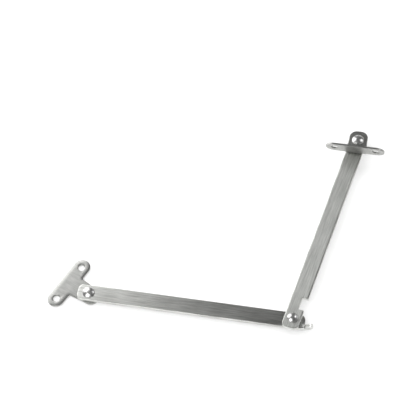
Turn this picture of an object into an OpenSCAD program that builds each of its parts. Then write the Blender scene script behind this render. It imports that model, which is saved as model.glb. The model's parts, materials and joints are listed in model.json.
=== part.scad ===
// Folding lid stay. Two flat steel arms turn on a riveted elbow. One arm ends in a
// flat T bracket for the cabinet side, the other in a bent T bracket for the lid.
// The stay lies flat, half open. The origin is on the back face of the cabinet
// bracket, midway between its screw holes. +X runs to the cabinet pivot, and +Z
// runs along the rivets, from their tails to their domed heads.

/* [Arms] */
// Width of both arms
arm_w = 12; // [12:0.5:14]
// Thickness of both arms
arm_t = 2.5; // [2:0.25:3]
// Length of the cabinet arm, pivot to pivot
cabinet_arm_len = 147; // [100:1:250]
// Length of the lid arm, pivot to pivot
lid_arm_len = 155; // [100:1:250]
// How far an arm or a bracket tongue runs past its rivet
end_reach = 8; // [7.5:0.25:9]
// Corner radius of the arm ends
end_corner_r = 3.5; // [2:0.5:5]

/* [Elbow stop] */
// How far the cabinet arm runs past the elbow rivet
elbow_reach = 9; // [8.5:0.25:9.5]
// Radius of the upper corner of that end
elbow_corner_r = 6; // [3:0.5:6]
// Width of the finger tab at the lower corner of that end
tab_w = 3.6; // [3:0.1:3.8]
// Distance from the elbow rivet to the tip of the bent tab
tab_reach = 15.4; // [14:0.2:15.6]
// Angle that the tab is bent up, towards the front
tab_angle = 28; // [20:1:32]
// Start of the slot in the tab, from the elbow rivet
tab_slot_from = 11; // [10.5:0.1:11.5]
// Length of the slot in the tab
tab_slot_len = 2.6; // [2:0.1:2.8]
// Width of the slot in the tab
tab_slot_w = 1.8; // [1:0.1:2]
// Start of the notch in the lid arm, from the elbow rivet
notch_from = 7.8; // [7:0.1:8]
// End of the notch in the lid arm, from the elbow rivet
notch_to = 17.6; // [17:0.1:20]
// Depth of the notch
notch_depth = 4.3; // [4.3:0.1:5]

/* [Brackets] */
// Sheet thickness of both brackets
bracket_t = 1.5; // [1.2:0.1:2]
// Length of a bracket's crossbar
crossbar_len = 43; // [40:1:60]
// Width of a bracket's crossbar
crossbar_w = 12; // [10:0.5:12]
// Distance between the two screw holes
screw_spacing = 30; // [25:1:32]
// Diameter of a screw hole
screw_hole_d = 5; // [4:0.1:5.6]
// Diameter of the countersink at the face
countersink_d = 5.8; // [5.8:0.1:7.2]
// Distance from the rivet to the screw hole line on the flat bracket
tongue_len = 18; // [17:0.25:22]
// Width of the tongue at the rivet
tongue_w = 13.5; // [12:0.25:14]
// Width of the tongue where it meets the crossbar
tongue_root_w = 15.5; // [14:0.5:17]
// Corner radius of the tongue ends
tongue_end_r = 5.5; // [3:0.5:6]
// Distance from the rivet to the start of the bent bracket's bend
plate_bend_x = 9.1; // [8.5:0.1:12]
// Inner radius of the bend
bend_r = 1; // [0.6:0.1:1.5]
// Angle that the bent bracket's plate is bent up, towards the front
plate_angle = 76.5; // [60:0.5:90]
// Distance from the end of the bend to the screw hole line
plate_rise = 6.2; // [6.1:0.1:10]

/* [Rivets and washers] */
// Diameter of a rivet's shank
shank_d = 5; // [4:0.1:5]
// Diameter of the domed heads at the two brackets
head_d = 8.8; // [8:0.1:10]
// Height of those heads
head_h = 2.3; // [1.5:0.1:3]
// Diameter of the domed head at the elbow
elbow_head_d = 7.8; // [7:0.1:9]
// Outer diameter of a rivet's rolled tail
tail_d = 7; // [6.4:0.1:8]
// Thickness of the rolled tail
tail_t = 0.9; // [0.6:0.1:1.2]
// Diameter of the hollow in the tail
tail_bore_d = 3.4; // [2:0.1:3.6]
// Outer diameter of the spacer washers
washer_d = 10; // [8:0.5:11]
// Thickness of the spacer washers
washer_t = 0.4; // [0.3:0.05:0.6]

/* [Pose] */
// Direction of the cabinet arm, from the flat bracket's centre line
cabinet_angle = 23.5; // [-90:0.5:90]
// Direction of the lid arm, from the cabinet arm's, 0 when the stay is straight
elbow_angle = 82; // [0:1:170]
// Direction of the bent bracket's tongue, from the lid arm's
lid_bracket_angle = -172; // [-180:1:180]

/* [Hidden] */
$fn = 96;
// Gap between faces that slide on each other
play = 0.1;
// Radial gap between a shank and the holes round it
running_gap = 0.05;
// How far a cutter reaches past the face that it cuts
over = 0.5;
// Depth of the hollow in a rivet's tail
tail_bore_depth = 3.5;
// Height of the straight rim under a domed head
head_rim = 0.4;
// Radius of the fillets between tongue and crossbar
root_fillet_r = 1.6;
// Radius of the tab's corners
tab_corner_r = 1.2;
// Inner radius of the tab's bend
tab_bend_r = 0.8;
// Flats that make up a bend
bend_flats = 6;
// Where the tab's bend starts, just past the end of the arm
tab_bend_x = elbow_reach + 0.1;
// How much of the tab's flat root lies inside the arm
tab_root = 3;

shank_r = shank_d / 2;
pivot_hole_r = shank_r + running_gap;
half_w = arm_w / 2;
steel = [0.72, 0.72, 0.7];
bright_steel = [0.86, 0.86, 0.85];

// Heights of the back faces in the stack
cabinet_arm_z = bracket_t + washer_t + play;
lid_arm_z = cabinet_arm_z + arm_t + washer_t + play;
lid_bracket_z = lid_arm_z + arm_t + washer_t + play;

// ---------- Frames ----------

module at_cabinet_pivot() {
    translate([tongue_len, 0, 0]) rotate(cabinet_angle) children();
}

module at_elbow() {
    at_cabinet_pivot() translate([cabinet_arm_len, 0, 0]) children();
}

module along_lid_arm() {
    at_elbow() rotate(elbow_angle) children();
}

module at_lid_pivot() {
    along_lid_arm() translate([lid_arm_len, 0, 0]) children();
}

// ---------- Shared shapes ----------

// What is left outside a corner rounded to radius r. The corner is at the origin
// and the plate lies on its -x, -y side.
module corner_waste(r) {
    difference() {
        translate([-r, -r]) square(r + over);
        translate([-r, -r]) circle(r);
    }
}

// Flat bar outline along X, rounded at the start by r_start, square at the end
module bar_outline(x_start, x_end, r_start, w = arm_w) {
    difference() {
        translate([x_start, -w / 2]) square([x_end - x_start, w]);
        for (side = [0, 1]) {
            mirror([0, side]) translate([x_start, w / 2]) mirror([1, 0]) corner_waste(r_start);
        }
    }
}

// Point in side view on a bend about (x, z), at radius r and angle a from its start
function bend_point(x, z, r, a) = [x + r * sin(a), z - r * cos(a)];

// Side view of a sheet of thickness t: flat from root_x to bend_x, then a bend over
// inner_r, made of flats, and then a straight blade
module bent_side(root_x, bend_x, t, inner_r, angle, blade_len) {
    z = t + inner_r;
    blade = blade_len * [cos(angle), sin(angle)];
    back = [for (i = [0:bend_flats]) bend_point(bend_x, z, z, angle * i / bend_flats)];
    front = [for (i = [bend_flats:-1:0]) bend_point(bend_x, z, inner_r, angle * i / bend_flats)];
    polygon(concat([[root_x, 0]], back, [back[bend_flats] + blade, front[0] + blade],
                   front, [[root_x, t]]));
}

module pivot_hole(z_from, height) {
    translate([0, 0, z_from - over]) cylinder(r = pivot_hole_r, h = height + 2 * over);
}

// Countersunk screw hole through a sheet that lies on z = 0, wide end on top
module screw_hole() {
    sink = (countersink_d - screw_hole_d) / 2;
    translate([0, 0, -over]) cylinder(d = screw_hole_d, h = bracket_t + 2 * over);
    translate([0, 0, bracket_t - sink])
        cylinder(d1 = screw_hole_d, d2 = countersink_d + 2 * over, h = sink + over);
}

// Crossbar with round ends, centred on the origin, its length along Y
module crossbar_outline() {
    end_r = crossbar_w / 2;
    translate([-end_r, -crossbar_len / 2 + end_r]) square([crossbar_w, crossbar_len - crossbar_w]);
    for (side = [-1, 1]) {
        translate([0, side * (crossbar_len / 2 - end_r)]) circle(end_r);
    }
}

// Tongue from its rounded end past the rivet at the origin, widening to x = length
module tongue_outline(length) {
    side_slope = (tongue_root_w - tongue_w) / 2 / (tongue_len - crossbar_w / 2);
    start_half_w = tongue_w / 2;
    end_half_w = start_half_w + side_slope * length;
    bar_outline(-end_reach, 0, tongue_end_r, tongue_w);
    polygon([[0, -start_half_w], [length, -end_half_w], [length, end_half_w], [0, start_half_w]]);
}

// Concave fillets where the tongue meets the crossbar at x = root_x
module root_fillets(root_x) {
    for (side = [0, 1]) {
        mirror([0, side]) translate([root_x, tongue_root_w / 2]) difference() {
            translate([-root_fillet_r, -over]) square([root_fillet_r + over, root_fillet_r + over]);
            translate([-root_fillet_r, root_fillet_r]) circle(root_fillet_r);
        }
    }
}

// Half section of a rivet. Its tail is rolled over at y = 0, its head sits at y = grip.
module rivet_profile(grip, dome_d) {
    dome_r = dome_d / 2;
    dome_h = head_h - head_rim;
    sphere_r = (dome_r * dome_r + dome_h * dome_h) / (2 * dome_h);
    roll_x = (tail_d - tail_t) / 2;
    difference() {
        union() {
            translate([0, -tail_t]) square([shank_r, grip + tail_t + head_rim]);
            intersection() {
                translate([0, grip + head_h - sphere_r]) circle(sphere_r);
                translate([0, grip]) square([dome_r, head_h]);
            }
            translate([0, -tail_t]) square([roll_x, tail_t]);
            translate([roll_x, -tail_t / 2]) circle(tail_t / 2);
        }
        translate([-over, -tail_t - over]) square([tail_bore_d / 2 + over, tail_bore_depth + over]);
    }
}

module rivet(grip, dome_d) {
    rotate_extrude() rivet_profile(grip, dome_d);
}

module spacer_washer() {
    difference() {
        cylinder(d = washer_d, h = washer_t);
        pivot_hole(0, washer_t);
    }
}

// ---------- Cabinet side ----------

module cabinet_bracket() {
    color(steel) difference() {
        linear_extrude(bracket_t) {
            crossbar_outline();
            translate([tongue_len, 0]) mirror([1, 0]) {
                tongue_outline(tongue_len);
                root_fillets(tongue_len - crossbar_w / 2);
            }
        }
        for (side = [-1, 1]) {
            translate([0, side * screw_spacing / 2, 0]) screw_hole();
        }
        translate([tongue_len, 0, 0]) pivot_hole(0, bracket_t);
    }
}

module cabinet_washer() {
    color(bright_steel) translate([tongue_len, 0, bracket_t]) spacer_washer();
}

module cabinet_rivet() {
    color(bright_steel) translate([tongue_len, 0, 0]) rivet(cabinet_arm_z + arm_t + play, head_d);
}

// ---------- Cabinet arm ----------

// Flat part of the arm, with x = 0 at the elbow
module cabinet_arm_outline() {
    difference() {
        bar_outline(-cabinet_arm_len - end_reach, elbow_reach, end_corner_r);
        translate([elbow_reach, half_w]) corner_waste(elbow_corner_r);
    }
}

// Plan of the tab, with its slot and the corners rounded at its tip
module tab_plan() {
    root_x = tab_bend_x - tab_root;
    difference() {
        translate([root_x, -half_w]) square([tab_reach - root_x, tab_w]);
        translate([tab_reach, -half_w + tab_w]) corner_waste(tab_corner_r);
        translate([tab_reach, -half_w]) mirror([0, 1]) corner_waste(tab_corner_r);
        translate([tab_slot_from, -half_w + (tab_w - tab_slot_w) / 2])
            square([tab_slot_len, tab_slot_w]);
    }
}

module finger_tab() {
    intersection() {
        translate([0, -half_w + tab_w + over, 0]) rotate([90, 0, 0])
            linear_extrude(tab_w + 2 * over)
                bent_side(tab_bend_x - tab_root, tab_bend_x, arm_t, tab_bend_r, tab_angle,
                          tab_reach - tab_bend_x);
        translate([0, 0, -over]) linear_extrude(tab_reach) tab_plan();
    }
}

module cabinet_arm() {
    color(steel) at_elbow() translate([0, 0, cabinet_arm_z]) difference() {
        union() {
            linear_extrude(arm_t) cabinet_arm_outline();
            finger_tab();
        }
        pivot_hole(0, arm_t);
        translate([-cabinet_arm_len, 0, 0]) pivot_hole(0, arm_t);
    }
}

module elbow_washer() {
    color(bright_steel) at_elbow() translate([0, 0, cabinet_arm_z + arm_t]) spacer_washer();
}

module elbow_rivet() {
    grip = lid_arm_z - cabinet_arm_z + arm_t + play;
    color(bright_steel) at_elbow() translate([0, 0, cabinet_arm_z]) rivet(grip, elbow_head_d);
}

// ---------- Lid arm ----------

module lid_arm() {
    middle = lid_arm_len / 2;
    color(steel) along_lid_arm() translate([0, 0, lid_arm_z]) difference() {
        linear_extrude(arm_t) difference() {
            union() {
                bar_outline(-end_reach, middle, end_corner_r);
                translate([lid_arm_len, 0]) mirror([1, 0]) bar_outline(-end_reach, middle, end_corner_r);
            }
            translate([notch_from, -half_w - over]) square([notch_to - notch_from, notch_depth + over]);
        }
        pivot_hole(0, arm_t);
        translate([lid_arm_len, 0, 0]) pivot_hole(0, arm_t);
    }
}

module lid_washer() {
    color(bright_steel) at_lid_pivot() translate([0, 0, lid_arm_z + arm_t]) spacer_washer();
}

module lid_rivet() {
    grip = lid_bracket_z - lid_arm_z + bracket_t + play;
    color(bright_steel) at_lid_pivot() translate([0, 0, lid_arm_z]) rivet(grip, head_d);
}

// ---------- Lid bracket ----------

// Frame of the bent plate: origin on the screw hole line, X up along the plate
module at_plate() {
    bend_end = bend_point(plate_bend_x, bracket_t + bend_r, bracket_t + bend_r, plate_angle);
    translate([bend_end[0], 0, bend_end[1]]) rotate([0, -plate_angle, 0])
        translate([plate_rise, 0, 0]) children();
}

// Tongue, bend and plate as one bent sheet, still as wide as the crossbar is long
module bent_sheet() {
    blade_len = plate_rise + crossbar_w / 2 + over;
    translate([0, crossbar_len / 2 + over, 0]) rotate([90, 0, 0])
        linear_extrude(crossbar_len + 2 * over)
            bent_side(-end_reach - over, plate_bend_x, bracket_t, bend_r, plate_angle, blade_len);
}

// What the press leaves of that sheet: the tongue up to the plate, and the crossbar
module bent_outline() {
    translate([0, 0, -over]) linear_extrude(bracket_t + bend_r + plate_rise)
        tongue_outline(plate_bend_x + plate_rise);
    at_plate() translate([0, 0, -over]) linear_extrude(bracket_t + 2 * over) crossbar_outline();
}

// The screw heads lie on the outer side of the plate
module lid_bracket() {
    color(steel) at_lid_pivot() rotate(lid_bracket_angle) translate([0, 0, lid_bracket_z])
        difference() {
            intersection() {
                bent_sheet();
                bent_outline();
            }
            pivot_hole(0, bracket_t);
            for (side = [-1, 1]) {
                at_plate() translate([0, side * screw_spacing / 2, bracket_t]) mirror([0, 0, 1])
                    screw_hole();
            }
        }
}

cabinet_bracket();
cabinet_washer();
cabinet_rivet();
cabinet_arm();
elbow_washer();
elbow_rivet();
lid_arm();
lid_washer();
lid_rivet();
lid_bracket();
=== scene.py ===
"""Looks of a folding lid stay: two brushed flat arms, two pressed T brackets, and the three
domed rivets and three washers of its pivots.

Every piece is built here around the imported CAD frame, in metres, and stands for its CAD node.
"""

import json
from math import atan2, ceil, cos, pi, radians, sin, tan

import bmesh
import bpy
from mathutils import Matrix, Vector


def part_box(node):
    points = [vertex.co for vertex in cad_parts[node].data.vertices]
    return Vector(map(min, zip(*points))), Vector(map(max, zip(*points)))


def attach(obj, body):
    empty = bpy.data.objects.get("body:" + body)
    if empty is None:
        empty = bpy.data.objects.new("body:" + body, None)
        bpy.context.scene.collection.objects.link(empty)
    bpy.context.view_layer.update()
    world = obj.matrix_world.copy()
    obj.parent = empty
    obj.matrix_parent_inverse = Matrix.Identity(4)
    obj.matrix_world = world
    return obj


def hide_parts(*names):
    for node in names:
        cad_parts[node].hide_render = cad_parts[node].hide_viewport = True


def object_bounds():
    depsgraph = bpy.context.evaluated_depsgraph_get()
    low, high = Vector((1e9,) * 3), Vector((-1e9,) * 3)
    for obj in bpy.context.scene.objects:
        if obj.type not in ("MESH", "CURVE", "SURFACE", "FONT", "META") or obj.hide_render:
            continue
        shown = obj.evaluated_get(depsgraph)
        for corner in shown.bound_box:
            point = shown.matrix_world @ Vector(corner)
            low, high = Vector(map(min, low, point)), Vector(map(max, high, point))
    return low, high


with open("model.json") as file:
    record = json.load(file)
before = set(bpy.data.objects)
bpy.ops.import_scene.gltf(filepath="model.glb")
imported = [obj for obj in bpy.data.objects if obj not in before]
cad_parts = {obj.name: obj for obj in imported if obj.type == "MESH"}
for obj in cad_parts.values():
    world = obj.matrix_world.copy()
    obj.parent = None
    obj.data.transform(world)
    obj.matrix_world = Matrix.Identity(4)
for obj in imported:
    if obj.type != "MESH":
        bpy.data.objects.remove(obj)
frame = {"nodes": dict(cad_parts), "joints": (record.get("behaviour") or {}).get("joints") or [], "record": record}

cad_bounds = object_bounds()
MM = 0.001

# ---------- Sizes, in metres ----------

# arms, with the reach of their ends past the pivots; the pivot holes are the brackets' too
ARM_HALF_W = 6 * MM
END_REACH = 8 * MM
END_CORNER_R = 3.5 * MM
PIVOT_HOLE_R = 2.55 * MM
# cabinet arm's end at the elbow, with its finger tab; X runs from the elbow pivot
ELBOW_REACH = 9 * MM
ELBOW_CORNER_R = 6 * MM
TAB_W = 3.6 * MM
TAB_REACH = 15.4 * MM
TAB_TIP_R = 1.2 * MM
TAB_ROOT_R = 0.35 * MM
TAB_BEND_X = 9.1 * MM
TAB_BEND_R = 0.8 * MM
TAB_ANGLE = radians(28)
TAB_SLOT = (11 * MM, 13.6 * MM)
TAB_SLOT_W = 1.8 * MM
TAB_SLOT_R = 0.3 * MM
# the strip that ends in the tab curls up before its bend: its first part, as a share of the
# curl's length, is a parabola, and the rest is straight
CURL_FROM = 6.4 * MM
CURL_RISE = 0.45 * MM
CURL_START = 0.3
CURL_BLEND_W = 0.7 * MM
# flat length that makes up for what the curl takes from the tab's reach
CURL_TAKE_UP = 0.25 * MM
# notch in the lid arm; X runs from the elbow pivot
NOTCH = (7.8 * MM, 17.6 * MM)
NOTCH_Y = -1.7 * MM
NOTCH_MOUTH_R = 0.4 * MM
NOTCH_FLOOR_R = 0.5 * MM
# brackets; X runs from the screw holes on the cabinet's, and from the pivot on the lid's
CROSSBAR_HALF_L = 21.5 * MM
CROSSBAR_HALF_W = 6 * MM
TONGUE_HALF_W = 6.75 * MM
TONGUE_ROOT_HALF_W = 7.75 * MM
TONGUE_END_R = 5.5 * MM
ROOT_FILLET_R = 1.6 * MM
SOFT_CORNER_R = 12 * MM
SINK_R = 2.9 * MM
# lid bracket's plate: its bend, and how far its holes lie past the bend
PLATE_BEND_X = 9.1 * MM
PLATE_BEND_R = 1 * MM
PLATE_ANGLE = radians(76.5)
PLATE_RISE = 6.2 * MM
PLATE_ROOT_R = 0.15 * MM
# rivets and washers
SHANK_R = 2.5 * MM
HEAD_H = 2.3 * MM
HEAD_RIM = 0.4 * MM
HEAD_EDGE_R = 0.12 * MM
TAIL_R = 3.5 * MM
TAIL_T = 0.9 * MM
TAIL_BORE_R = 1.7 * MM
TAIL_BORE_DEPTH = 3.5 * MM
TAIL_BORE_END_R = 0.5 * MM
TAIL_MOUTH_R = 0.4 * MM
WASHER_R = 5 * MM
# stamped edges: drawn down where the punch went in, nearly square where it came out
DIE_ROLL_W = 0.9 * MM
DIE_ROLL_DEPTH = 0.25 * MM
BRACKET_ROLL_W = 2.6 * MM
BRACKET_ROLL_DEPTH = 0.3 * MM
BURR_R = 0.12 * MM
ROLL_STEPS = 6
BURR_STEPS = 3
# lengths below these count as nothing: between points, from the axis, from a cutting plane
SAME_POINT = 1e-7
ON_AXIS = 1e-9
ON_PLANE = 1e-8

# ---------- Places, from the frame ----------

joint_at = {j["name"]: Vector(j["pos_m"]) for j in frame["joints"]}
cabinet_pivot = joint_at["cabinet_pivot"].to_2d()
elbow_pivot = joint_at["elbow_pivot"].to_2d()
lid_pivot = joint_at["lid_pivot"].to_2d()
mounts = {m["name"]: m for m in frame["record"]["mounts"]}
lid_screws = mounts["lid_screws"]
screw_hole_r = lid_screws["dims"]["hole_r_mm"] * MM
screw_offset = lid_screws["dims"]["pcd_mm"] * MM / 2


def heading(v):
    """Angle of a direction about Z, from +X."""
    return atan2(v[1], v[0])


def z_span(node):
    """Heights of a node's back and front faces."""
    low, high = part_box(node)
    return low.z, high.z


def placed(at, angle, z):
    """Place of a piece that is turned about Z and moved to a point."""
    return Matrix.Translation((at[0], at[1], z)) @ Matrix.Rotation(angle, 4, "Z")


arm_t = z_span("lid_arm")[1] - z_span("lid_arm")[0]
bracket_t = z_span("cabinet_bracket")[1] - z_span("cabinet_bracket")[0]
cabinet_arm_len = (elbow_pivot - cabinet_pivot).length
lid_arm_len = (lid_pivot - elbow_pivot).length
cabinet_arm_angle = heading(elbow_pivot - cabinet_pivot)
lid_arm_angle = heading(lid_pivot - elbow_pivot)
lid_bracket_angle = heading(lid_screws["axis"])
object_middle = Vector(
    ((cad_bounds[0].x + cad_bounds[1].x) / 2, (cad_bounds[0].y + cad_bounds[1].y) / 2, 0)
)

# ---------- Outlines ----------
# A loop is a list of (point, outward normal). It runs counter-clockwise round the
# material and clockwise round a hole, so the normal is always on its right.

ARC_STEP = radians(7.5)


def rounded_loop(corners):
    """Loop through (x, y, corner radius) points, with each corner turned as an arc."""
    loop = []
    count = len(corners)
    for i, (x, y, r) in enumerate(corners):
        here = Vector((x, y))
        before = (here - Vector(corners[i - 1][:2])).normalized()
        after = (Vector(corners[(i + 1) % count][:2]) - here).normalized()
        turn = atan2(before.cross(after), before.dot(after))
        side = 1 if turn > 0 else -1
        start = here - before * r * tan(abs(turn) / 2)
        normal = Vector((before.y, -before.x))
        centre = start - normal * r * side
        steps = max(2, ceil(abs(turn) / ARC_STEP))
        for k in range(steps + 1):
            turned = normal.copy()
            turned.rotate(Matrix.Rotation(turn * k / steps, 2))
            point = centre + turned * r * side
            if not loop or (point - loop[-1][0]).length > SAME_POINT:
                loop.append((point, turned))
    if (loop[0][0] - loop[-1][0]).length < SAME_POINT:
        loop.pop()
    return loop


def round_hole(x, y, r, steps=64):
    centre = Vector((x, y))
    angles = [-2 * pi * k / steps for k in range(steps)]
    outward = [Vector((cos(a), sin(a))) for a in angles]
    return [(centre + n * r, -n) for n in outward]


def rect_hole(x0, x1, y0, y1, r):
    return rounded_loop([(x0, y0, r), (x0, y1, r), (x1, y1, r), (x1, y0, r)])


# ---------- Edge sections ----------
# A section is a list of (inset, height) from the back face to the front face. The inset is
# measured from the loop into the material.


def quarter(width, depth, steps):
    """Quarter of an ellipse, from the face to the wall."""
    angles = [pi / 2 * k / steps for k in range(steps + 1)]
    return [(width - width * sin(a), depth - depth * cos(a)) for a in angles]


def flipped(section, t):
    """The section turned over, so its back is at the front face."""
    return [(inset, t - z) for inset, z in reversed(section)]


def stamped(t, roll_w=DIE_ROLL_W, roll_depth=DIE_ROLL_DEPTH):
    """Edge that the punch drew down at the front face and left nearly square at the back."""
    return quarter(BURR_R, BURR_R, BURR_STEPS) + flipped(quarter(roll_w, roll_depth, ROLL_STEPS), t)


def punched(t):
    """Edge of a small hole, nearly square at both faces."""
    return stamped(t, BURR_R, BURR_R)


def countersunk(t, sink):
    """Straight wall that opens as a cone to the front face."""
    lip = BURR_R / 2
    cone = [(0, t - sink), (sink - lip, t - lip), (sink + lip, t)]
    return quarter(BURR_R, BURR_R, BURR_STEPS) + cone


# ---------- Meshes ----------


def plate(edged_loops):
    """Flat stamping from (loop, section) pairs: its walls follow the sections, with flat faces."""
    bm = bmesh.new()
    back_edges, front_edges = [], []
    for loop, section in edged_loops:
        rings = [[bm.verts.new((*(p - n * inset), z)) for p, n in loop] for inset, z in section]
        for low, high in zip(rings, rings[1:]):
            for k in range(len(loop)):
                bm.faces.new((low[k - 1], low[k], high[k], high[k - 1]))
        for ring, edges in ((rings[0], back_edges), (rings[-1], front_edges)):
            edges += [bm.edges.get((ring[k - 1], ring[k])) for k in range(len(loop))]
    for edges in (back_edges, front_edges):
        bmesh.ops.triangle_fill(bm, use_beauty=True, use_dissolve=False, edges=edges)
    bmesh.ops.recalc_face_normals(bm, faces=bm.faces)
    return bm


def cut(bm, at, normal):
    """Adds edges where a plane crosses the mesh, and keeps both sides."""
    geometry = bm.verts[:] + bm.edges[:] + bm.faces[:]
    bmesh.ops.bisect_plane(bm, geom=geometry, dist=ON_PLANE, plane_co=at, plane_no=normal)


def bend(bm, x0, inner_r, angle, t, steps=10):
    """Bends the sheet upwards from x0 on, about a line along Y, over an inner radius."""
    neutral_r = inner_r + t / 2
    arc = neutral_r * angle
    for k in range(steps + 1):
        cut(bm, (x0 + arc * k / steps, 0, 0), (1, 0, 0))
    for v in bm.verts:
        past = v.co.x - x0
        if past > 0:
            turned = min(past, arc) / neutral_r
            straight = max(past - arc, 0)
            r = inner_r + t - v.co.z
            v.co.x = x0 + r * sin(turned) + straight * cos(turned)
            v.co.z = t + inner_r - r * cos(turned) + straight * sin(turned)


def lathe(profile, steps=96):
    """Solid of revolution about Z of (radius, height) points.

    A profile that starts off the axis is a ring, and its last point joins its first.
    """
    bm = bmesh.new()
    angles = [2 * pi * k / steps for k in range(steps)]
    rings = []
    for r, z in profile:
        if r < ON_AXIS:
            rings.append([bm.verts.new((0, 0, z))])
        else:
            rings.append([bm.verts.new((r * cos(a), r * sin(a), z)) for a in angles])
    is_ring = len(rings[0]) > 1
    for low, high in zip(rings, rings[1:] + (rings[:1] if is_ring else [])):
        for k in range(steps):
            corners = [low[(k - 1) % len(low)], low[k % len(low)]]
            corners += [high[k % len(high)], high[(k - 1) % len(high)]]
            bm.faces.new(list(dict.fromkeys(corners)))
    bmesh.ops.recalc_face_normals(bm, faces=bm.faces)
    return bm


def linked(name, data):
    """New object in the scene."""
    obj = bpy.data.objects.new(name, data)
    bpy.context.scene.collection.objects.link(obj)
    return obj


def mesh_object(name, bm, material):
    mesh = bpy.data.meshes.new(name)
    bm.to_mesh(mesh)
    bm.free()
    mesh.materials.append(material)
    return linked(name, mesh)


def piece(bm, node, body, place, material):
    """Puts the mesh in its place as an object that stands for a CAD node and rides on its body."""
    bm.transform(place)
    obj = mesh_object(node + "_look", bm, material)
    for face in obj.data.polygons:
        face.use_smooth = True
    normals = obj.modifiers.new("even_normals", "WEIGHTED_NORMAL")
    normals.mode = "FACE_AREA"
    normals.weight = 100
    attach(obj, body)
    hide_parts(node)


# ---------- Materials ----------


class Nodes:
    """A material's node tree, with a short way to add and link nodes.

    Its patterns lie in the piece's own place.
    """

    def __init__(self, name, place=None):
        self.place = place or Matrix.Identity(4)
        self.material = bpy.data.materials.new(name)
        self.material.use_nodes = True
        self.tree = self.material.node_tree
        self.shader = self.tree.nodes["Principled BSDF"]

    def connect(self, node, inputs):
        """Links each input that is another node's output, and sets each one that is a value."""
        for key, value in inputs.items():
            if isinstance(value, bpy.types.NodeSocket):
                self.tree.links.new(value, node.inputs[key])
            else:
                node.inputs[key].default_value = value

    def add(self, kind, inputs, **settings):
        """New node of a kind. Returns its first output."""
        node = self.tree.nodes.new(kind)
        for key, value in settings.items():
            setattr(node, key, value)
        self.connect(node, inputs)
        return node.outputs[0]

    def coordinates(self, scale, turn=0):
        """The piece's own coordinates, turned about Z and scaled to cycles per millimetre."""
        point = self.tree.nodes.new("ShaderNodeTexCoord").outputs["Object"]
        angles = (0, 0, self.place.to_euler().z - turn)
        inputs = {"Vector": point, "Location": self.place.translation, "Rotation": angles}
        local = self.add("ShaderNodeMapping", inputs, vector_type="TEXTURE")
        return self.add("ShaderNodeMapping", {"Vector": local, "Scale": [s / MM for s in scale]})

    def noise(self, scale, detail, turn=0, roughness=0.55):
        inputs = {"Vector": self.coordinates(scale, turn), "Scale": 1.0}
        inputs.update({"Detail": detail, "Roughness": roughness})
        return self.add("ShaderNodeTexNoise", inputs)

    def ranged(self, value, low, high, from_low=0.3, from_high=0.7):
        """The value brought from one range to another. Noise mostly lies between 0.3 and 0.7."""
        inputs = {"Value": value, "From Min": from_low, "From Max": from_high}
        inputs.update({"To Min": low, "To Max": high})
        return self.add("ShaderNodeMapRange", inputs)

    def product(self, a, b):
        return self.add("ShaderNodeMath", {0: a, 1: b}, operation="MULTIPLY")

    def tinted(self, dark, light, factor):
        """Colour between dark and light."""
        mix = self.tree.nodes.new("ShaderNodeMix")
        mix.data_type = "RGBA"
        colours = {s.identifier: s for s in mix.inputs}
        colours["A_Color"].default_value = (*dark, 1)
        colours["B_Color"].default_value = (*light, 1)
        self.tree.links.new(factor, colours["Factor_Float"])
        return {s.identifier: s for s in mix.outputs}["Result_Color"]

    def bump(self, height, strength, distance, normal=None):
        inputs = {"Height": height, "Strength": strength, "Distance": distance}
        if normal is not None:
            inputs["Normal"] = normal
        return self.add("ShaderNodeBump", inputs)

    def finish(self, inputs):
        """Connects the shader. Returns the material."""
        self.connect(self.shader, inputs)
        return self.material


# sizes of the patterns, in cycles per millimetre along X, Y and Z
LONG_STREAKS = (0.05, 0.8, 0.8)
SHORT_STREAKS = (0.15, 0.9, 0.9)
BRUSHING = (0.035, 2.6, 2.6)
HANDLING = (0.06, 0.09, 0.09)
BRUSHED_PITS = (1.1, 1.3, 1.3)
TUMBLING_MARKS = (0.45, 0.45, 0.45)
TUMBLED_PITS = (2.2, 2.2, 2.2)
# heights of the bumps
BRUSHING_H = 0.03 * MM
BRUSHED_PIT_H = 0.03 * MM
TUMBLING_MARK_H = 0.05 * MM
TUMBLED_PIT_H = 0.02 * MM
# dark and light colours of the steels
SATIN = ((0.48, 0.485, 0.465), (0.74, 0.745, 0.72))
# the lid arm's tones are the cabinet arm's satin steel painted lighter: painted light for the brighter light the
# lid arm catches
SATIN_PAINTED_LIGHTER = ((0.6, 0.61, 0.585), (0.82, 0.83, 0.8))
PRESSED = ((0.41, 0.415, 0.4), (0.5, 0.5, 0.485))
BRIGHT = ((0.74, 0.74, 0.73), (0.84, 0.84, 0.83))
DULL = ((0.46, 0.46, 0.45), (0.56, 0.56, 0.55))


def brushed_steel(name, place, streak_scale, tones, roughness, anisotropy):
    """Satin steel brushed along the piece's own X, which draws its highlights out across that."""
    n = Nodes(name, place)
    across = place.to_3x3() @ Vector((0, 1, 0))
    grain = n.noise(BRUSHING, detail=4)
    streaks = n.noise(streak_scale, detail=5, roughness=0.65)
    handling = n.noise(HANDLING, detail=2)
    pits = n.noise(BRUSHED_PITS, detail=4, turn=0.5)
    shade = n.product(streaks, n.ranged(handling, 0.9, 1.1))
    colour = n.tinted(*tones, n.ranged(shade, 0, 1, from_low=0.36, from_high=0.64))
    worn = n.product(n.ranged(handling, 0.94, 1.08), n.ranged(streaks, 1.12, 0.9))
    rough = n.product(n.ranged(grain, *roughness), worn)
    normal = n.bump(grain, 0.3, BRUSHING_H)
    normal = n.bump(pits, 0.06, BRUSHED_PIT_H, normal)
    tangent = n.add(
        "ShaderNodeVectorTransform",
        {"Vector": across},
        vector_type="VECTOR",
        convert_from="OBJECT",
        convert_to="WORLD",
    )
    return n.finish(
        {
            "Base Color": colour,
            "Metallic": 1.0,
            "Roughness": rough,
            "Anisotropic": anisotropy,
            "Tangent": tangent,
            "Normal": normal,
        }
    )


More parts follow.
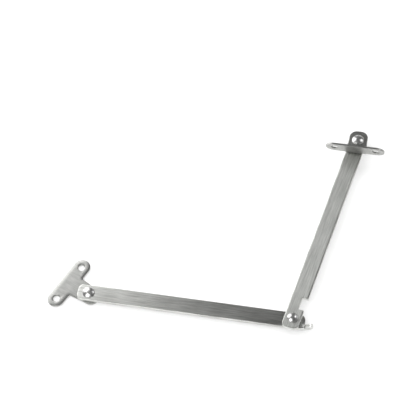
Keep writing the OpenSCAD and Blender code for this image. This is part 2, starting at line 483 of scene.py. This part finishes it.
def tumbled_steel(name, tones, roughness):
    """Steel tumbled smooth, with faint pits and marks."""
    n = Nodes(name)
    marks = n.noise(TUMBLING_MARKS, detail=4)
    pits = n.noise(TUMBLED_PITS, detail=3)
    colour = n.tinted(*tones, n.ranged(marks, 0, 1))
    rough = n.ranged(marks, *roughness)
    normal = n.bump(pits, 0.05, TUMBLED_PIT_H)
    normal = n.bump(marks, 0.08, TUMBLING_MARK_H, normal)
    return n.finish({"Base Color": colour, "Metallic": 1.0, "Roughness": rough, "Normal": normal})


cabinet_bracket_place = placed((0, 0), 0, z_span("cabinet_bracket")[0])
cabinet_arm_place = placed(elbow_pivot, cabinet_arm_angle, z_span("cabinet_arm")[0])
lid_arm_place = placed(elbow_pivot, lid_arm_angle, z_span("lid_arm")[0])
lid_bracket_place = placed(lid_pivot, lid_bracket_angle, z_span("lid_bracket")[0])
cabinet_arm_steel = brushed_steel(
    "cabinet_arm_steel", cabinet_arm_place, LONG_STREAKS, SATIN, (0.3, 0.4), anisotropy=0.75
)
# the lid arm's lighter tones are painted light, standing in for the brighter light it catches
lid_arm_steel = brushed_steel(
    "lid_arm_steel", lid_arm_place, LONG_STREAKS, SATIN_PAINTED_LIGHTER, (0.42, 0.56), anisotropy=0.6
)
cabinet_bracket_steel = brushed_steel(
    "cabinet_bracket_steel", cabinet_bracket_place, SHORT_STREAKS, PRESSED, (0.3, 0.4), anisotropy=0.6
)
lid_bracket_steel = brushed_steel(
    "lid_bracket_steel", lid_bracket_place, SHORT_STREAKS, PRESSED, (0.34, 0.46), anisotropy=0.2
)
rivet_steel = tumbled_steel("rivet_steel", BRIGHT, (0.3, 0.38))
washer_steel = tumbled_steel("washer_steel", DULL, (0.3, 0.42))

# ---------- Brackets ----------

sink = SINK_R - screw_hole_r
tongue_slope = (TONGUE_ROOT_HALF_W - TONGUE_HALF_W) / (cabinet_pivot.x - CROSSBAR_HALF_W)


def mirrored(corners):
    """The corners on the -Y side, and then their mirror images on the +Y side."""
    return corners + [(x, -y, r) for x, y, r in reversed(corners)]


def cabinet_bracket():
    """Flat T bracket, with its countersinks at the front."""
    reach = cabinet_pivot.x
    outline = mirrored(
        [
            (-CROSSBAR_HALF_W, -CROSSBAR_HALF_L, CROSSBAR_HALF_W),
            (CROSSBAR_HALF_W, -CROSSBAR_HALF_L, CROSSBAR_HALF_W),
            (CROSSBAR_HALF_W, -TONGUE_ROOT_HALF_W, ROOT_FILLET_R),
            (reach, -TONGUE_HALF_W, SOFT_CORNER_R),
            (reach + END_REACH, -TONGUE_HALF_W, TONGUE_END_R),
        ]
    )
    loops = [
        (rounded_loop(outline), stamped(bracket_t, BRACKET_ROLL_W, BRACKET_ROLL_DEPTH)),
        (round_hole(reach, 0, PIVOT_HOLE_R), punched(bracket_t)),
    ]
    for side in (-1, 1):
        hole = round_hole(0, side * screw_offset, screw_hole_r)
        loops.append((hole, countersunk(bracket_t, sink)))
    piece(
        plate(loops),
        "cabinet_bracket",
        "cabinet_side",
        cabinet_bracket_place,
        cabinet_bracket_steel,
    )


def lid_bracket():
    """T bracket with its crossbar bent up. It is made flat, with the countersinks at the back."""
    half_w = TONGUE_HALF_W + tongue_slope * PLATE_BEND_X
    arc = (PLATE_BEND_R + bracket_t / 2) * PLATE_ANGLE
    plate_x = PLATE_BEND_X + arc + PLATE_RISE
    outline = mirrored(
        [
            (-END_REACH, -TONGUE_HALF_W, TONGUE_END_R),
            (0, -TONGUE_HALF_W, SOFT_CORNER_R),
            (PLATE_BEND_X, -half_w, SOFT_CORNER_R),
            (plate_x - CROSSBAR_HALF_W, -half_w, PLATE_ROOT_R),
            (plate_x - CROSSBAR_HALF_W, -CROSSBAR_HALF_L, CROSSBAR_HALF_W),
            (plate_x + CROSSBAR_HALF_W, -CROSSBAR_HALF_L, CROSSBAR_HALF_W),
        ]
    )
    loops = [
        (rounded_loop(outline), stamped(bracket_t)),
        (round_hole(0, 0, PIVOT_HOLE_R), punched(bracket_t)),
    ]
    for side in (-1, 1):
        hole = round_hole(plate_x, side * screw_offset, screw_hole_r)
        loops.append((hole, flipped(countersunk(bracket_t, sink), bracket_t)))
    bm = plate(loops)
    bend(bm, PLATE_BEND_X, PLATE_BEND_R, PLATE_ANGLE, bracket_t)
    piece(bm, "lid_bracket", "lid_side", lid_bracket_place, lid_bracket_steel)


# ---------- Arms ----------


def curl(bm, strip_top, slope, steps=8, blend_steps=4):
    """Lifts the tab's strip along a short parabola and then straight on, blended into the arm."""
    length = TAB_BEND_X - CURL_FROM
    start = length * CURL_START
    for k in range(steps + 1):
        cut(bm, (CURL_FROM + length * k / steps, 0, 0), (1, 0, 0))
    for k in range(blend_steps + 1):
        cut(bm, (0, strip_top + CURL_BLEND_W * k / blend_steps, 0), (0, 1, 0))
    for v in bm.verts:
        past = v.co.x - CURL_FROM
        if past > 0:
            across = min(max((v.co.y - strip_top) / CURL_BLEND_W, 0), 1)
            rise = slope * (past**2 / 2 / start if past < start else past - start / 2)
            v.co.z += rise * (1 + cos(pi * across)) / 2


def cabinet_arm():
    """Arm from the cabinet bracket to the elbow, with the slotted finger tab past the elbow."""
    tab_top = TAB_W - ARM_HALF_W
    outer_r = TAB_BEND_R + arm_t
    curl_slope = CURL_RISE / (TAB_BEND_X - CURL_FROM) / (1 - CURL_START / 2)
    bend_angle = TAB_ANGLE - atan2(curl_slope, 1)
    blade = (TAB_REACH - TAB_BEND_X - outer_r * sin(TAB_ANGLE)) / cos(TAB_ANGLE)
    tip = TAB_BEND_X + (TAB_BEND_R + arm_t / 2) * TAB_ANGLE + blade + CURL_TAKE_UP
    start = -cabinet_arm_len - END_REACH
    tab_mid = tab_top - TAB_W / 2
    outline = [
        (start, -ARM_HALF_W, END_CORNER_R),
        (tip, -ARM_HALF_W, TAB_TIP_R),
        (tip, tab_top, TAB_TIP_R),
        (ELBOW_REACH, tab_top, TAB_ROOT_R),
        (ELBOW_REACH, ARM_HALF_W, ELBOW_CORNER_R),
        (start, ARM_HALF_W, END_CORNER_R),
    ]
    loops = [(rounded_loop(outline), stamped(arm_t))]
    for x in (0, -cabinet_arm_len):
        loops.append((round_hole(x, 0, PIVOT_HOLE_R), punched(arm_t)))
    slot = rect_hole(*TAB_SLOT, tab_mid - TAB_SLOT_W / 2, tab_mid + TAB_SLOT_W / 2, TAB_SLOT_R)
    loops.append((slot, punched(arm_t)))
    bm = plate(loops)
    curl(bm, tab_top, curl_slope)
    bend(bm, TAB_BEND_X, TAB_BEND_R, bend_angle, arm_t, steps=6)
    piece(bm, "cabinet_arm", "cabinet_link", cabinet_arm_place, cabinet_arm_steel)


def lid_arm():
    """Arm from the elbow to the lid bracket, with the notch that drops over the finger tab."""
    end = lid_arm_len + END_REACH
    outline = [
        (-END_REACH, -ARM_HALF_W, END_CORNER_R),
        (NOTCH[0], -ARM_HALF_W, NOTCH_MOUTH_R),
        (NOTCH[0], NOTCH_Y, NOTCH_FLOOR_R),
        (NOTCH[1], NOTCH_Y, NOTCH_FLOOR_R),
        (NOTCH[1], -ARM_HALF_W, NOTCH_MOUTH_R),
        (end, -ARM_HALF_W, END_CORNER_R),
        (end, ARM_HALF_W, END_CORNER_R),
        (-END_REACH, ARM_HALF_W, END_CORNER_R),
    ]
    loops = [(rounded_loop(outline), stamped(arm_t))]
    for x in (0, lid_arm_len):
        loops.append((round_hole(x, 0, PIVOT_HOLE_R), punched(arm_t)))
    piece(plate(loops), "lid_arm", "lid_link", lid_arm_place, lid_arm_steel)


# ---------- Rivets and washers ----------


def arc_points(centre, r, start, end, steps):
    """Points on an arc of (radius, height) coordinates, between two angles."""
    angles = [start + (end - start) * k / steps for k in range(steps + 1)]
    return [(centre[0] + r * cos(a), centre[1] + r * sin(a)) for a in angles]


def rivet(node, body, at):
    """Semi-tubular rivet: hollow rolled tail at the back, shank, domed head at the front."""
    low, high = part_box(node)
    head_r = (high.x - low.x) / 2
    grip = high.z - low.z - TAIL_T - HEAD_H
    dome_h = HEAD_H - HEAD_RIM
    sphere_r = (head_r**2 + dome_h**2) / (2 * dome_h)
    rim_angle = atan2(sphere_r - dome_h, head_r)
    roll_r = TAIL_T / 2
    bore_end = TAIL_BORE_DEPTH - TAIL_T
    end_r, mouth_r, edge_r = TAIL_BORE_END_R, TAIL_MOUTH_R, HEAD_EDGE_R
    profile = [(0, bore_end)]
    profile += arc_points((TAIL_BORE_R - end_r, bore_end - end_r), end_r, pi / 2, 0, steps=4)
    profile += arc_points((TAIL_BORE_R + mouth_r, mouth_r - TAIL_T), mouth_r, pi, 1.5 * pi, steps=4)
    profile += arc_points((TAIL_R - roll_r, -roll_r), roll_r, -pi / 2, pi / 2, steps=8)
    profile += [(SHANK_R, 0), (SHANK_R, grip)]
    profile += arc_points((head_r - edge_r, grip + edge_r), edge_r, -pi / 2, 0, steps=3)
    dome_centre = (0, grip + HEAD_H - sphere_r)
    profile += arc_points(dome_centre, sphere_r, rim_angle, pi / 2, steps=20)[:-1]
    profile += [(0, grip + HEAD_H)]
    place = placed(at, 0, low.z + TAIL_T)
    piece(lathe(profile), node, body, place, rivet_steel)


def washer(node, body, at):
    """Flat ring with a rounded outer edge."""
    low, high = z_span(node)
    edge_r = (high - low) / 2
    profile = [(PIVOT_HOLE_R, 0)]
    profile += arc_points((WASHER_R - edge_r, edge_r), edge_r, -pi / 2, pi / 2, steps=6)
    profile += [(PIVOT_HOLE_R, high - low)]
    piece(lathe(profile), node, body, placed(at, 0, low), washer_steel)


# ---------- Floor, lights and camera ----------

FLOOR_HALF_W = 6.0
FLOOR_GAP = 0.0002
# the floor glows a little, as a white light table does
FLOOR_GLOW = 0.4
FLOOR_TONES = ((0.6, 0.6, 0.6), (0.63, 0.63, 0.63))


def floor():
    """Plain pale floor just under the lowest rivet tail."""
    bm = bmesh.new()
    half = FLOOR_HALF_W
    z = min(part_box(n)[0].z for n in frame["nodes"]) - FLOOR_GAP
    corners = ((-half, -half), (half, -half), (half, half), (-half, half))
    bm.faces.new([bm.verts.new((x, y, z)) for x, y in corners])
    n = Nodes("floor")
    cloud = n.add("ShaderNodeTexNoise", {"Scale": 3.0, "Detail": 2.0})
    matt = {"Roughness": 0.9, "Specular IOR Level": 0.0}
    glow = {"Emission Color": (1, 1, 1, 1), "Emission Strength": FLOOR_GLOW}
    material = n.finish({"Base Color": n.tinted(*FLOOR_TONES, cloud), **matt, **glow})
    obj = mesh_object("floor", bm, material)


def direction(heading_deg, elevation_deg):
    """Unit vector towards a heading, from +X towards +Y, and an elevation."""
    h, e = radians(heading_deg), radians(elevation_deg)
    return Vector((cos(e) * cos(h), cos(e) * sin(h), sin(e)))


# an area lamp's power, over its area and radiance
LAMP_POWER = 4


def softbox(name, towards, distance, size, radiance, in_reflections=True):
    """Rectangular area light that faces the object from a direction, with its width level."""
    width, height = size
    lamp = bpy.data.lights.new(name, "AREA")
    lamp.shape = "RECTANGLE"
    lamp.size = width
    lamp.size_y = height
    lamp.energy = LAMP_POWER * width * height * radiance
    obj = linked(name, lamp)
    away = direction(*towards)
    obj.location = object_middle + away * distance
    obj.rotation_euler = away.to_track_quat("Z", "Y").to_euler()
    obj.visible_glossy = in_reflections


ROOM_GREY = (0.11, 0.11, 0.11, 1)


def lights():
    """Wide light from above, and softboxes that the steel mirrors, with a dark room between them."""
    softbox("overhead", (90, 89.9), distance=1.3, size=(2.2, 2.2), radiance=1.2, in_reflections=False)
    softbox("left_box", (170, 29), distance=0.45, size=(0.42, 0.46), radiance=1.8)
    softbox("front_box", (-92, 44), distance=0.5, size=(0.3, 0.29), radiance=2.8)
    softbox("back_right_box", (55, 35), distance=0.5, size=(0.18, 0.2), radiance=2.2)
    world = bpy.data.worlds.new("studio")
    world.use_nodes = True
    background = world.node_tree.nodes["Background"]
    background.inputs["Color"].default_value = ROOM_GREY
    bpy.context.scene.world = world


def camera():
    """Long lens, looking down at the stay from the front right, with a slight roll."""
    azimuth, elevation, roll = radians(41.53), radians(56.69), radians(7.97)
    distance, focal_length, sensor_width = 1.5712, 198, 36
    aim = Vector((0.04982, 0.09578, 0.02557))
    back = Vector((cos(elevation) * sin(azimuth), -cos(elevation) * cos(azimuth), sin(elevation)))
    level_right = Vector((cos(azimuth), sin(azimuth), 0))
    level_up = back.cross(level_right)
    up = level_up * cos(roll) + level_right * sin(roll)
    right = up.cross(back)
    data = bpy.data.cameras.new("camera")
    data.lens = focal_length
    data.sensor_width = sensor_width
    data.clip_start = 10 * MM
    obj = linked("camera", data)
    turned = Matrix((right, up, back)).transposed().to_4x4()
    obj.matrix_world = Matrix.Translation(aim + back * distance) @ turned
    bpy.context.scene.camera = obj


# ---------- Everything, in order ----------

cabinet_bracket()
lid_bracket()
cabinet_arm()
lid_arm()
for part_name, body_name, centre in (
    ("cabinet", "cabinet_side", cabinet_pivot),
    ("elbow", "cabinet_link", elbow_pivot),
    ("lid", "lid_link", lid_pivot),
):
    rivet(part_name + "_rivet", body_name, centre)
    washer(part_name + "_washer", body_name, centre)
floor()
lights()
camera()
bpy.context.scene.view_settings.view_transform = "Standard"
